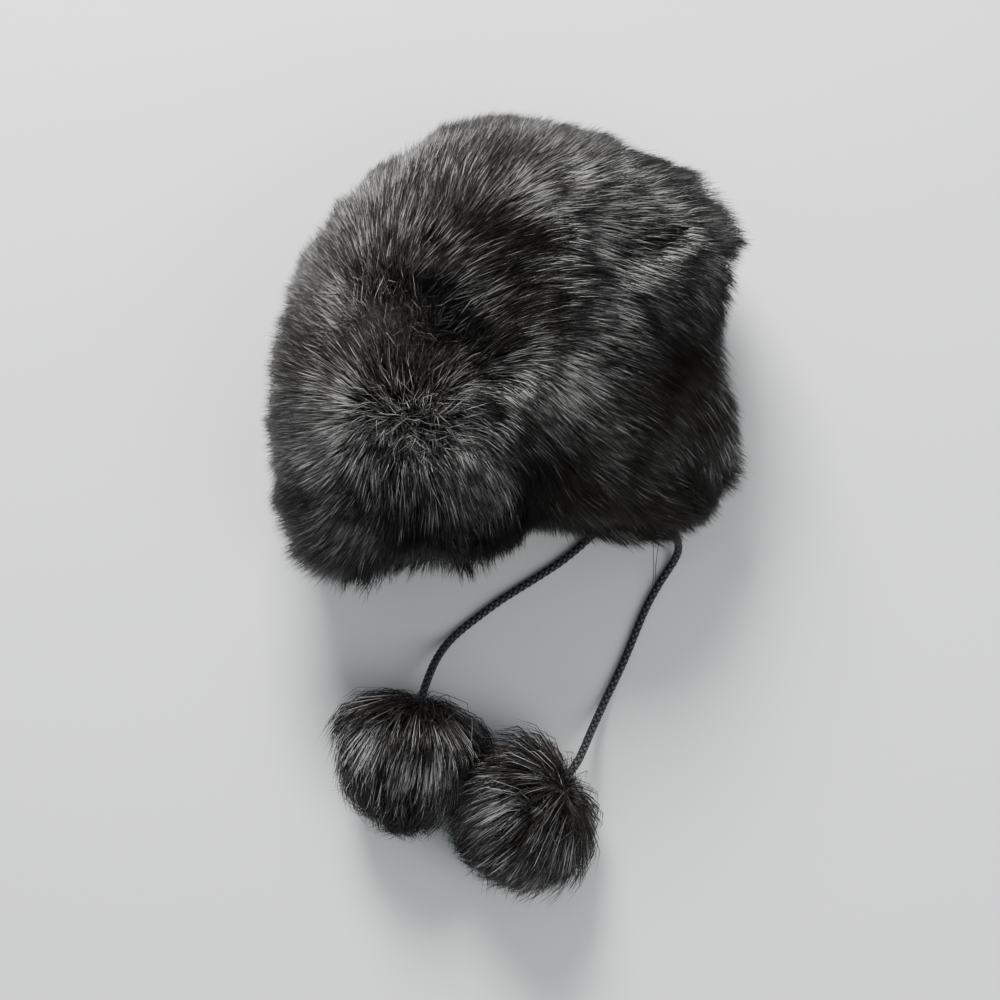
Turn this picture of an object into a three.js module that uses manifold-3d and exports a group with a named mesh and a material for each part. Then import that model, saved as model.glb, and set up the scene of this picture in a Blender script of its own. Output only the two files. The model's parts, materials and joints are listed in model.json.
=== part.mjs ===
import * as THREE from 'three'
import { mergeVertices } from 'three/addons/utils/BufferGeometryUtils.js'
import Module from 'manifold-3d'

// A faux fur bonnet with ear flaps and two braided ties that end in pompoms. It lies on its left side.
// +X is the way that its face opening looks, +Y is towards the crown's top, +Z is up from the surface.
// Sizes are in millimetres.

// The hat's own sizes, from fur tip to fur tip where nothing else is said
const hatLength = 256 // brow to nape
const hatDepth = 260 // crown to neck edge
const roofHeight = 110 // the upper side's cloth above the surface
const baseHeight = 12 // the lower side's cloth above the surface, with the pile pressed flat under it
const ridgeHeight = 60 // the cloth's widest line, half way up the crown
const clothWall = 2.5
const pileDepth = 13 // dense pile on the cloth
const lockReach = 22 // from the cloth to the tips of the locks
const seamGap = 0.3 // between the panels
const stripInset = 28 // from the outline to the centre panel's seam, seen from above
const flapWidth = 92 // half axes of the oval seam that sets each ear flap off
const flapHeight = 109

// The locks
const lockWidth = 21
const lockThickness = 8
const lockRun = 32 // how far a lock lies along the pile
const lockSpread = 0.15 // how much longer or shorter than that a lock may be
const lockSway = 4 // how many degrees a lock's tip may lean to either side
const shortestLock = 0.88 // the lowest tip as a share of the locks' reach
const rimOverhang = 6 // how far the locks of a free edge stand out past the others
const upperLocks = 62
const rimLockSpacing = 24

// The ties and the pompoms
const tieDiameter = 4.5
const tieSides = 8
const tieSteps = 24
const tieClearance = 0.35
const pompomRadius = 33
const pompomReach = 44.5 // from the middle to the tips of the locks
const pompomSag = 1.5 // how far the soft ball settles into its flat spot
const pompomLocks = 30
const pompomGap = 0.4 // between the two where they lean on each other
const pompomFall = 0.42 // how far a lock's tip falls away from the tie, as a share of the radius

// What follows the sizes
const halfLength = hatLength / 2
const halfDepth = hatDepth / 2
const farOut = 3 * hatLength

// Where the side's hair starts to fan out
const pole = new THREE.Vector2(-0.134 * hatLength, -0.062 * hatDepth)
const flapCentre = new THREE.Vector2(0.39 * hatLength, -0.415 * hatDepth)

// The outline seen from above, as directions from the pole. Reach is the fur tips' distance as a share of
// half the hat's length and depth. Upper and lower are the two free edges' heights as shares of the roof's
// height, and tuck is the lower edge's reach as a share of the upper one's.
const outline = [
  { angle: -115, reach: 0.977, upper: 0.76, lower: 0.17, tuck: 1 },
  { angle: -105, reach: 0.860, upper: 0.83, lower: 0.15, tuck: 0.98 },
  { angle: -90, reach: 0.798, upper: 0.84, lower: 0.13, tuck: 0.96 },
  { angle: -78, reach: 0.853, upper: 0.80, lower: 0.125, tuck: 0.94 },
  { angle: -68, reach: 0.806, upper: 0.68, lower: 0.125, tuck: 0.93 },
  { angle: -61, reach: 0.736, upper: 0.58, lower: 0.125, tuck: 0.92 },
  { angle: -50, reach: 0.837, upper: 0.45, lower: 0.125, tuck: 0.88 },
  { angle: -38, reach: 1.023, upper: 0.34, lower: 0.125, tuck: 0.82 },
  { angle: -31, reach: 1.200, upper: 0.30, lower: 0.125, tuck: 0.79 },
  { angle: -22, reach: 1.287, upper: 0.32, lower: 0.125, tuck: 0.80 },
  { angle: -12, reach: 1.290, upper: 0.42, lower: 0.125, tuck: 0.84 },
  { angle: -2, reach: 1.233, upper: 0.58, lower: 0.125, tuck: 0.90 },
  { angle: 7, reach: 1.140, upper: 0.75, lower: 0.13, tuck: 0.96 },
  { angle: 16, reach: 1.256, upper: 0.86, lower: 0.14, tuck: 0.98 },
  { angle: 29, reach: 1.364, upper: 0.86, lower: 0.15, tuck: 1 },
  { angle: 40, reach: 1.326, upper: 0.86, lower: 0.15, tuck: 1 },
  { angle: 55, reach: 1.240, upper: 0.86, lower: 0.15, tuck: 1 },
  { angle: 70, reach: 1.178, upper: 0.86, lower: 0.15, tuck: 1 },
  { angle: 82, reach: 1.128, upper: 0.86, lower: 0.15, tuck: 1 },
  { angle: 96, reach: 0.992, upper: 0.86, lower: 0.15, tuck: 1 },
  { angle: 112, reach: 0.891, upper: 0.86, lower: 0.15, tuck: 1 },
  { angle: 132, reach: 0.806, upper: 0.86, lower: 0.15, tuck: 1 },
  { angle: 160, reach: 0.729, upper: 0.86, lower: 0.15, tuck: 1 },
  { angle: 188, reach: 0.729, upper: 0.86, lower: 0.15, tuck: 1 },
  { angle: 206, reach: 0.798, upper: 0.84, lower: 0.15, tuck: 1 },
  { angle: 222, reach: 0.899, upper: 0.80, lower: 0.17, tuck: 1 },
  { angle: 235, reach: 0.957, upper: 0.76, lower: 0.17, tuck: 1 },
]

// Where the free edge starts and ends, at the nape and at the brow, and over how many degrees it rounds open
const napeAngle = -115
const browAngle = 29
const napeRound = 18
const browRound = 15

// The upper side's dents and rolls: centre and half widths as shares of half the hat's length and depth,
// the turn of the long side in degrees, and the height as a share of the roof's height
const relief = [
  { name: 'parting of the hair', x: -0.28, y: -0.06, long: 0.27, wide: 0.15, turn: -39, height: -0.17 },
  { name: 'nape roll', x: -0.42, y: -0.52, long: 0.26, wide: 0.22, turn: 0, height: 0.05 },
  { name: 'flap roll', x: 0.36, y: -0.40, long: 0.28, wide: 0.23, turn: 0, height: 0.06 },
  { name: 'ridge over the flap', x: 0.17, y: -0.24, long: 0.24, wide: 0.13, turn: 10, height: 0.05 },
  { name: 'fold up from the neck', x: -0.02, y: -0.64, long: 0.24, wide: 0.1, turn: 82, height: -0.2 },
  { name: 'brow roll', x: 0.72, y: 0.43, long: 0.2, wide: 0.18, turn: 90, height: 0.05 },
  { name: 'fold down the flap', x: 0.75, y: -0.28, long: 0.24, wide: 0.1, turn: 80, height: -0.13 },
  { name: 'dent behind the brow', x: 0.52, y: 0.35, long: 0.13, wide: 0.12, turn: 0, height: -0.08 },
  { name: 'crown roll', x: 0.28, y: 0.5, long: 0.26, wide: 0.11, turn: 80, height: 0.04 },
]

// The ties' routes, from the flap's corner to the pompom's middle
const rightTieRoute = [
  [80.5, -85.2, 28.6], [84.5, -88.2, 27.2], [88.8, -91.6, 22.6], [92.2, -95.6, 15.8], [93.2, -99.8, 9.2],
  [91.6, -104.2, 4.4], [88.4, -109.2, 2.5], [83.1, -117.3, 2.4], [77.2, -127.6, 2.4], [72.4, -138, 2.4],
  [68, -148.6, 2.4], [63.3, -159.6, 2.4], [58.2, -170.4, 2.5], [53, -181, 3.6], [48.2, -191.2, 7.4],
  [44, -200.4, 13.6], [40.4, -208.6, 20.8], [36.4, -216.4, 26.8], [31, -223.4, 30.4], [24.6, -229.6, 31.6],
]
const leftTieRoute = [
  [57.4, -64.6, 15.6], [56.2, -68.8, 15.6], [54.4, -73.6, 13.6], [52.6, -79, 9.8], [50.4, -84.6, 5.8],
  [46.8, -90.2, 3], [40, -96.8, 2.4], [31, -104.2, 2.4], [22.6, -110, 2.4], [14.2, -115.4, 2.4],
  [5.6, -120.8, 2.4], [-3, -126.3, 2.4], [-10.4, -131.6, 2.4], [-17.4, -137, 2.4], [-24.2, -142.4, 2.5],
  [-30.2, -148.2, 4], [-35, -154.8, 8.4], [-38.6, -162, 14.8], [-41.2, -169.4, 21.6], [-43.6, -177.4, 27],
  [-45.8, -186, 30.4],
]
const rightPompomCentre = new THREE.Vector2(13.5, -238.8)
const leftPompomCentre = new THREE.Vector2(-49.5, -205.8)

const furMaterial = new THREE.MeshStandardMaterial({ color: 0x4b4a4a, roughness: 0.95, metalness: 0 })
const flapMaterial = new THREE.MeshStandardMaterial({ color: 0x434242, roughness: 0.95, metalness: 0 })
const pompomMaterial = new THREE.MeshStandardMaterial({ color: 0x3b3938, roughness: 0.95, metalness: 0 })
const cordMaterial = new THREE.MeshStandardMaterial({ color: 0x121212, roughness: 0.75, metalness: 0 })

const wasm = await Module()
wasm.setup()

const mix = (a, b, share) => a + (b - a) * share
const radians = THREE.MathUtils.degToRad

// A share from 0 to 1 that looks random and is the same on each run.
const scatter = (index, seed) => (index * 0.618034 + seed * 0.414214) % 1

function solidFrom(geometry, nearness = 1e-4) {
  const bare = new THREE.BufferGeometry()
  bare.setAttribute('position', geometry.getAttribute('position'))
  bare.setIndex(geometry.getIndex())
  const merged = mergeVertices(bare, nearness)
  const corners = merged.getIndex().array
  const kept = []
  for (let i = 0; i < corners.length; i += 3) {
    const [a, b, c] = corners.slice(i, i + 3)
    if (a !== b && b !== c && c !== a) kept.push(a, b, c)
  }
  const vertProperties = Float32Array.from(merged.getAttribute('position').array)
  return new wasm.Manifold(new wasm.Mesh({ numProp: 3, vertProperties, triVerts: Uint32Array.from(kept) }))
}

// The faces of the largest body, without the crumbs that a seam's cut leaves of a lock's tip. Faces that
// share an edge belong to one body.
function mainBody(triVerts) {
  const faceCount = triVerts.length / 3
  const parent = Array.from({ length: faceCount }, (_, face) => face)
  const rootOf = (face) => {
    while (parent[face] !== face) face = parent[face]
    return face
  }
  const faceAt = new Map()
  for (let i = 0; i < triVerts.length; i++) {
    const face = Math.floor(i / 3)
    const next = triVerts[i % 3 === 2 ? i - 2 : i + 1]
    const edge = `${Math.min(triVerts[i], next)} ${Math.max(triVerts[i], next)}`
    if (faceAt.has(edge)) parent[rootOf(face)] = rootOf(faceAt.get(edge))
    else faceAt.set(edge, face)
  }
  const bodies = new Map()
  for (let face = 0; face < faceCount; face++) {
    const root = rootOf(face)
    if (!bodies.has(root)) bodies.set(root, [])
    bodies.get(root).push(...triVerts.slice(3 * face, 3 * face + 3))
  }
  return [...bodies.values()].sort((a, b) => b.length - a.length)[0]
}

function geometryFrom(solid) {
  const { vertProperties, triVerts } = solid.getMesh()
  const geometry = new THREE.BufferGeometry()
  geometry.setAttribute('position', new THREE.BufferAttribute(vertProperties, 3))
  geometry.setIndex(new THREE.BufferAttribute(triVerts, 1))
  return geometry
}

function meshFrom(name, solid, material) {
  const geometry = geometryFrom(solidFrom(geometryFrom(solid), 1e-3))
  geometry.setIndex(mainBody(geometry.getIndex().array))
  geometry.computeVertexNormals()
  const mesh = new THREE.Mesh(geometry, material)
  mesh.name = name
  return mesh
}

// A closed form through rings of points, from a first point above them to a last point below.
function ringForm(first, rings, last) {
  const count = rings[0].length
  const points = [first, ...rings.flat(), last]
  const faces = []
  const at = (ring, i) => 1 + ring * count + (i % count)
  for (let i = 0; i < count; i++) {
    faces.push(0, at(0, i), at(0, i + 1))
    for (let ring = 0; ring < rings.length - 1; ring++) {
      faces.push(at(ring, i), at(ring + 1, i), at(ring + 1, i + 1))
      faces.push(at(ring, i), at(ring + 1, i + 1), at(ring, i + 1))
    }
    faces.push(points.length - 1, at(rings.length - 1, i + 1), at(rings.length - 1, i))
  }
  const geometry = new THREE.BufferGeometry().setFromPoints(points)
  geometry.setIndex(faces)
  return solidFrom(geometry)
}

// A column of the outline table at any angle, without overshoot between its rows
function fromOutline(column, angle) {
  const count = outline.length
  const turned = THREE.MathUtils.euclideanModulo(angle - outline[0].angle, 360) + outline[0].angle
  const row = outline.findLastIndex((station) => station.angle <= turned)
  const angleAt = (i) => outline[(i + count) % count].angle + 360 * Math.floor(i / count)
  const valueAt = (i) => outline[(i + count) % count][column]
  const steep = (i) => (valueAt(i + 1) - valueAt(i)) / (angleAt(i + 1) - angleAt(i))
  const slope = (i) => {
    const [before, after] = [steep(i - 1), steep(i)]
    return before * after > 0 ? (2 * before * after) / (before + after) : 0
  }
  const width = angleAt(row + 1) - angleAt(row)
  const s = (turned - angleAt(row)) / width
  const [start, end] = [valueAt(row), valueAt(row + 1)]
  return (
    start * (1 + 2 * s) * (1 - s) ** 2 +
    end * s ** 2 * (3 - 2 * s) +
    slope(row) * width * s * (1 - s) ** 2 -
    slope(row + 1) * width * s ** 2 * (1 - s)
  )
}

// 0 where the upper and the lower side meet in the closed crown, and 1 along the free edge between them
function openness(angle) {
  const turned = THREE.MathUtils.euclideanModulo(angle - napeAngle, 360) + napeAngle
  const fromNape = THREE.MathUtils.clamp((turned - napeAngle) / napeRound, 0, 1)
  const fromBrow = THREE.MathUtils.clamp((browAngle - turned) / browRound, 0, 1)
  const share = Math.min(fromNape, fromBrow)
  return Math.sqrt(share * (2 - share))
}

// The cloth's outline from the pole, seen from above
function clothOutline(side, angle) {
  const turn = radians(angle)
  const tip = new THREE.Vector2(halfLength * Math.cos(turn), halfDepth * Math.sin(turn))
  tip.multiplyScalar(fromOutline('reach', angle))
  if (side === 'lower') tip.multiplyScalar(mix(1, fromOutline('tuck', angle), openness(angle)))
  return tip.setLength(tip.length() - lockReach)
}

function edgeHeight(side, angle) {
  return mix(ridgeHeight, fromOutline(side, angle) * roofHeight, openness(angle))
}

function roofAt(x, y) {
  let height = roofHeight
  for (const form of relief) {
    const away = new THREE.Vector2(x / halfLength - form.x, y / halfDepth - form.y)
    away.rotateAround(new THREE.Vector2(), -radians(form.turn))
    height += form.height * roofHeight * Math.exp(-((away.x / form.long) ** 2) - (away.y / form.wide) ** 2)
  }
  return height
}

// 0 round the closed crown and 1 along the free edge, with a long change from one to the other
function drape(angle) {
  const turned = THREE.MathUtils.euclideanModulo(angle - napeAngle + 90, 360) + napeAngle - 90
  const fromNape = THREE.MathUtils.smoothstep(turned, napeAngle - 25, napeAngle + 30)
  const fromBrow = THREE.MathUtils.smoothstep(-turned, -browAngle - 15, -browAngle + 35)
  return Math.min(fromNape, fromBrow)
}

// How square the shoulders are, outwards and downwards: a full roll round the closed crown, and a flatter
// drape towards the rolled free edge
const shoulder = (angle) => mix(4.2, 2.7, drape(angle))
const roll = (angle) => mix(2, 1.6, drape(angle))

// The cloth at an angle, from the pole (step 0) to the outline (step 1)
function cloth(side, angle, step) {
  const out = Math.sin((step * Math.PI) / 2) ** (2 / shoulder(angle))
  const rise = step < 1 ? Math.cos((step * Math.PI) / 2) ** (2 / roll(angle)) : 0
  const flat = clothOutline(side, angle).multiplyScalar(out).add(pole)
  const edge = edgeHeight(side, angle)
  const middle = side === 'upper' ? roofAt(flat.x, flat.y) : baseHeight
  return new THREE.Vector3(flat.x, flat.y, mix(edge, middle, rise))
}

// The steps just inside and just outside a step
const around = (step) => [Math.max(step - 0.02, 0), Math.min(step + 0.02, 1)]

// A point above the cloth, or under it where the height is negative
function onCloth(side, angle, step, height) {
  const up = side === 'upper' ? 1 : -1
  const normal = new THREE.Vector3(0, 0, up)
  if (step > 0) {
    const [inner, outer] = around(step)
    const out = cloth(side, angle, outer).sub(cloth(side, angle, inner))
    const along = cloth(side, angle + 1.5, step).sub(cloth(side, angle - 1.5, step))
    normal.crossVectors(out, along).normalize().multiplyScalar(up)
    if (step === 1) normal.setZ(0).normalize()
  }
  return cloth(side, angle, step).addScaledVector(normal, height)
}

// The step whose distance from the pole is a share of the outline's
const stepAt = (angle, share) => (Math.asin(share ** (shoulder(angle) / 2)) * 2) / Math.PI

// The outline's own angles, and those with the angle half way to each next one
const coarseAngles = outline.map((row) => row.angle)
const fineAngles = coarseAngles.flatMap((angle, i) => {
  const next = i + 1 < coarseAngles.length ? coarseAngles[i + 1] : coarseAngles[0] + 360
  return [angle, (angle + next) / 2]
})

// The whole hat as one closed form, at a height above the cloth
function wholeForm(height, angles, upperSteps, lowerSteps) {
  const upper = upperSteps.map((step) => angles.map((angle) => onCloth('upper', angle, step, height)))
  const lower = lowerSteps.map((step) => angles.map((angle) => onCloth('lower', angle, step, height)))
  angles.forEach((angle, i) => {
    if (openness(angle) === 0) lower[0][i].copy(upper.at(-1)[i])
  })
  return ringForm(onCloth('upper', 0, 0, height), [...upper, ...lower], onCloth('lower', 0, 0, height))
}

// The space between the two free edges, from inside the hat to past the fur
function mouthForm() {
  const inside = -12
  const outside = 3 * lockReach
  const rim = fineAngles.filter((angle) => openness(angle) > 0.2)
  const ring = (side, past) =>
    rim.map((angle) => {
      const point = onCloth(side, angle, 1, -clothWall)
      const outward = clothOutline(side, angle).setLength(past)
      return new THREE.Vector3(point.x + outward.x, point.y + outward.y, point.z)
    })
  const loops = [
    ring('upper', inside),
    ring('upper', outside),
    ring('lower', outside),
    ring('lower', inside),
  ]
  const faces = []
  const at = (loop, i) => (loop % 4) * rim.length + i
  for (let loop = 0; loop < 4; loop++) {
    for (let i = 0; i < rim.length - 1; i++) {
      faces.push(at(loop, i), at(loop + 1, i), at(loop + 1, i + 1))
      faces.push(at(loop, i), at(loop + 1, i + 1), at(loop, i + 1))
    }
  }
  const last = rim.length - 1
  faces.push(at(0, 0), at(3, 0), at(2, 0), at(0, 0), at(2, 0), at(1, 0))
  faces.push(at(0, last), at(1, last), at(2, last), at(0, last), at(2, last), at(3, last))
  const geometry = new THREE.BufferGeometry().setFromPoints(loops.flat())
  geometry.setIndex(faces)
  return solidFrom(geometry)
}

// All that lies above the surface half way between the upper and the lower side
function upperSpace() {
  const half = (angle, step, past) => {
    const top = cloth('upper', angle, step)
    const low = cloth('lower', angle, step)
    const flat = clothOutline('upper', angle).setLength(past).add(new THREE.Vector2(top.x, top.y))
    return new THREE.Vector3(flat.x, flat.y, (top.z + low.z) / 2)
  }
  const ring = (step, past) => coarseAngles.map((angle) => half(angle, step, past))
  const rings = [ring(1, farOut).map((point) => point.setZ(farOut)), ring(1, farOut)]
  for (const step of [1, 0.86, 0.6, 0.3, 0.06]) rings.push(ring(step, 0))
  return ringForm(new THREE.Vector3(pole.x, pole.y, farOut), rings, half(0, 0, 0))
}

function uprightForm(outlinePoints) {
  const options = { depth: 2 * farOut, bevelEnabled: false }
  const form = new THREE.ExtrudeGeometry(new THREE.Shape(outlinePoints), options)
  return solidFrom(form.translate(0, 0, -farOut))
}

// The centre panel's seam, seen from above. It follows the outline and runs out over the free edge at
// both ends, between the angles named here.
function seamPoint(angle, gap) {
  const turned = THREE.MathUtils.euclideanModulo(angle + 90, 360) - 90
  const pastBrow = THREE.MathUtils.smoothstep(-turned, -browAngle - 18, -browAngle + 16)
  const pastNape = THREE.MathUtils.smoothstep(turned, napeAngle + 339, napeAngle + 381)
  const past = turned < 90 ? pastBrow : pastNape
  const flat = clothOutline('upper', angle)
  return flat.setLength(flat.length() - mix(stripInset, -2.2 * lockReach, past) + gap).add(pole)
}

function seamForm(gap) {
  const points = []
  for (let angle = napeAngle; angle < napeAngle + 360; angle += 8) points.push(seamPoint(angle, gap))
  return uprightForm(points)
}

function flapForm(gap) {
  const oval = new THREE.EllipseCurve(flapCentre.x, flapCentre.y, flapWidth + gap, flapHeight + gap)
  return uprightForm(oval.getPoints(32).slice(0, -1))
}

// One lock of hair: a three-sided leaf from its root over its belly to its tip
function lockForm(root, belly, tip, up, width, thickness) {
  const section = (centre, towards, size) => {
    const across = new THREE.Vector3().crossVectors(up, towards).setLength((width * size) / 2)
    const rise = up.clone().setLength((thickness * size) / 2)
    return [
      centre.clone().sub(across).sub(rise),
      centre.clone().add(across).sub(rise),
      centre.clone().add(rise),
    ]
  }
  const points = [
    ...section(root, belly.clone().sub(root), 0.8),
    ...section(belly, tip.clone().sub(root), 1),
    tip,
  ]
  const geometry = new THREE.BufferGeometry().setFromPoints(points)
  geometry.setIndex([
    0, 2, 1, 0, 1, 4, 0, 4, 3, 1, 2, 5, 1, 5, 4, 2, 0, 3, 2, 3, 5, 3, 4, 6, 4, 5, 6, 5, 3, 6,
  ])
  return solidFrom(geometry)
}

// A lock that lies along the pile, away from the pole, and stands out from the outline where it gets there.
// Round the closed crown's lower half the locks fall towards the surface instead. The root is sunk in the
// pile and the belly rides on it.
function furLock(side, angle, step, index) {
  const [inner, outer] = around(step)
  const stride = cloth(side, angle, outer).distanceTo(cloth(side, angle, inner)) / (outer - inner)
  const way = side === 'lower' && openness(angle) === 0 ? -1 : 1
  const length = lockRun * mix(1 - lockSpread, 1 + lockSpread, scatter(index, 1))
  const run = (way * length) / stride
  const sway = mix(-lockSway, lockSway, scatter(index, 2))
  const bellyStep = Math.min(step + run * 0.45, 1)
  const tipStep = Math.min(step + run, 1)
  const overhang = tipStep === 1 ? rimOverhang * openness(angle) : 0
  const height = lockReach * mix(shortestLock, 1, scatter(index, 3)) + overhang
  const root = onCloth(side, angle, step, pileDepth * 0.4)
  const belly = onCloth(side, angle + sway * 0.4, bellyStep, pileDepth + lockThickness * 0.15)
  const tip = onCloth(side, angle + sway, tipStep, height)
  const up = onCloth(side, angle, step, 1).sub(onCloth(side, angle, step, 0))
  return lockForm(root, belly, tip, up, lockWidth, lockThickness)
}

function insideFlap(point) {
  const across = (point.x - flapCentre.x) / flapWidth
  const along = (point.y - flapCentre.y) / flapHeight
  return across ** 2 + along ** 2 < 1
}

function insideSeam(point, angle) {
  const seam = seamPoint(angle, 0).sub(pole).length()
  return new THREE.Vector2(point.x, point.y).sub(pole).length() < seam
}

function ownerOf(side, angle, step) {
  const point = cloth(side, angle, step)
  if (!insideSeam(point, angle)) return 'centre'
  return insideFlap(point) ? `${side}Flap` : `${side}Side`
}

const locks = { centre: [], upperSide: [], upperFlap: [], lowerSide: [], lowerFlap: [] }

function addLock(side, angle, step) {
  const index = Object.values(locks).flat().length
  locks[ownerOf(side, angle, step)].push(furLock(side, angle, step, index))
}

// Locks all over the upper side
for (let i = 0; i < upperLocks; i++) {
  const angle = i * 137.508
  addLock('upper', angle, stepAt(angle, Math.sqrt((i + 0.6) / upperLocks) * 0.9))
}

// A row of locks round the crown's closed outline or along a free edge, from a shift in degrees
function addRow(side, step, shift, from, to) {
  let angle = from + shift
  while (angle < to) {
    addLock(side, angle, step)
    angle += THREE.MathUtils.radToDeg(rimLockSpacing / clothOutline(side, angle).length())
  }
}
addRow('upper', 0.7, 2, browAngle, napeAngle + 360)
addRow('upper', 0.88, 6, browAngle, napeAngle + 360)
addRow('upper', 1, 3, browAngle, napeAngle + 360)
addRow('lower', 0.94, 7, browAngle, napeAngle + 360)
addRow('upper', 0.84, 2, napeAngle, browAngle)
addRow('lower', 0.86, 4, napeAngle, browAngle)

// A tie: a tube with flat ends along its route
function tieForm(route, diameter) {
  const path = new THREE.CatmullRomCurve3(route.map((point) => new THREE.Vector3(...point)))
  const section = new THREE.Shape()
  section.absarc(0, 0, diameter / 2, 0, 2 * Math.PI)
  const points = section.getSpacedPoints(tieSides).slice(0, -1)
  const options = { extrudePath: path, steps: tieSteps, bevelEnabled: false }
  return solidFrom(new THREE.ExtrudeGeometry(new THREE.Shape(points), options))
}

const surfaceBlock = new THREE.BoxGeometry(2 * farOut, 2 * farOut, farOut).translate(0, 0, -farOut / 2)
const underSurface = solidFrom(surfaceBlock)

// A pompom: a soft ball whose locks fall away from where the tie goes in
function pompomForm(centre, entry) {
  const middle = new THREE.Vector3(centre.x, centre.y, pompomRadius - pompomSag)
  const ball = new THREE.SphereGeometry(pompomRadius, 12, 8).rotateX(Math.PI / 2)
  let form = solidFrom(ball.translate(middle.x, middle.y, middle.z))
  const whorl = entry.clone().sub(middle).normalize()
  for (let i = 0; i < pompomLocks; i++) {
    const high = 1 - (2 * i + 1) / pompomLocks
    const turn = i * 2.399963
    const flat = Math.sqrt(1 - high * high)
    const out = new THREE.Vector3(flat * Math.cos(turn), flat * Math.sin(turn), high)
    if (high < -0.8 || out.dot(whorl) > 0.93) continue
    const fall = out.clone().multiplyScalar(out.dot(whorl)).sub(whorl).normalize()
    const reach = pompomReach * mix(0.93, 1, scatter(i, 4))
    const tipWay = out.clone().addScaledVector(fall, pompomFall).normalize()
    const bellyWay = out.clone().addScaledVector(fall, pompomFall * 0.3).normalize()
    const root = middle.clone().addScaledVector(out, pompomRadius * 0.7)
    const belly = middle.clone().addScaledVector(bellyWay, pompomRadius * 0.96)
    const tip = middle.clone().addScaledVector(tipWay, reach)
    const up = out.clone().addScaledVector(fall, -0.6)
    form = form.add(lockForm(root, belly, tip, up, lockWidth, lockThickness * 1.2))
  }
  return form.subtract(underSurface)
}

// The two pompoms lean on each other, so each ends at an upright plane between them.
function leaningSide(centre, other) {
  const between = other.clone().sub(centre)
  const wall = new THREE.BoxGeometry(farOut, 2 * farOut, 2 * farOut)
  wall.translate((farOut - pompomGap) / 2, 0, 0).rotateZ(between.angle())
  const meeting = centre.clone().add(other).multiplyScalar(0.5)
  return solidFrom(wall.translate(meeting.x, meeting.y, 0))
}

// The fur's outer face and the head's hollow, in steps from the pole to the outline on the upper side and
// back to the pole on the lower one
const furSteps = [0.06, 0.16, 0.3, 0.45, 0.6, 0.74, 0.87, 0.96, 1]
const headSteps = [0.08, 0.25, 0.45, 0.65, 0.83, 0.95, 1]
const backSteps = [1, 0.9, 0.72, 0.4]
const fur = wholeForm(pileDepth, fineAngles, furSteps, backSteps)
const hollow = wholeForm(-clothWall, coarseAngles, headSteps, backSteps).add(mouthForm())
const upperHalf = upperSpace()
const insideSeams = seamForm(-seamGap / 2)
const outsideSeams = seamForm(seamGap / 2)
const flapInside = flapForm(-seamGap / 2)
const flapOutside = flapForm(seamGap / 2)

const rightTie = tieForm(rightTieRoute, tieDiameter)
const leftTie = tieForm(leftTieRoute, tieDiameter)
const rightTieRoom = tieForm(rightTieRoute, tieDiameter + 2 * tieClearance)
const leftTieRoom = tieForm(leftTieRoute, tieDiameter + 2 * tieClearance)

// The fur of one panel: the common form with the panel's own locks, hollowed and set down on the surface
function furred(owner) {
  let form = fur
  for (const lock of locks[owner]) form = form.add(lock)
  return form.subtract(hollow).subtract(underSurface).subtract(rightTieRoom).subtract(leftTieRoom)
}

const centrePanel = furred('centre').subtract(outsideSeams)
const upperSide = furred('upperSide').intersect(insideSeams).intersect(upperHalf).subtract(flapOutside)
const lowerSide = furred('lowerSide').intersect(insideSeams).subtract(upperHalf).subtract(flapOutside)
const upperFlap = furred('upperFlap').intersect(insideSeams).intersect(upperHalf).intersect(flapInside)
const lowerFlap = furred('lowerFlap').intersect(insideSeams).subtract(upperHalf).intersect(flapInside)

const rightEntry = new THREE.Vector3(...rightTieRoute.at(-3))
const leftEntry = new THREE.Vector3(...leftTieRoute.at(-3))
const rightPompom = pompomForm(rightPompomCentre, rightEntry)
  .subtract(leaningSide(rightPompomCentre, leftPompomCentre))
  .subtract(rightTieRoom)
const leftPompom = pompomForm(leftPompomCentre, leftEntry)
  .subtract(leaningSide(leftPompomCentre, rightPompomCentre))
  .subtract(leftTieRoom)

const hat = new THREE.Group()
hat.add(meshFrom('centre_panel', centrePanel, furMaterial))
hat.add(meshFrom('right_side_panel', upperSide, furMaterial))
hat.add(meshFrom('left_side_panel', lowerSide, furMaterial))
hat.add(meshFrom('right_ear_flap', upperFlap, flapMaterial))
hat.add(meshFrom('left_ear_flap', lowerFlap, flapMaterial))
hat.add(meshFrom('right_tie', rightTie, cordMaterial))
hat.add(meshFrom('left_tie', leftTie, cordMaterial))
hat.add(meshFrom('right_pompom', rightPompom, pompomMaterial))
hat.add(meshFrom('left_pompom', leftPompom, pompomMaterial))

export default hat
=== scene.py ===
import json
import math

import bpy
import numpy as np
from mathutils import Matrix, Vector
from mathutils.bvhtree import BVHTree
from mathutils.kdtree import KDTree

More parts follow.
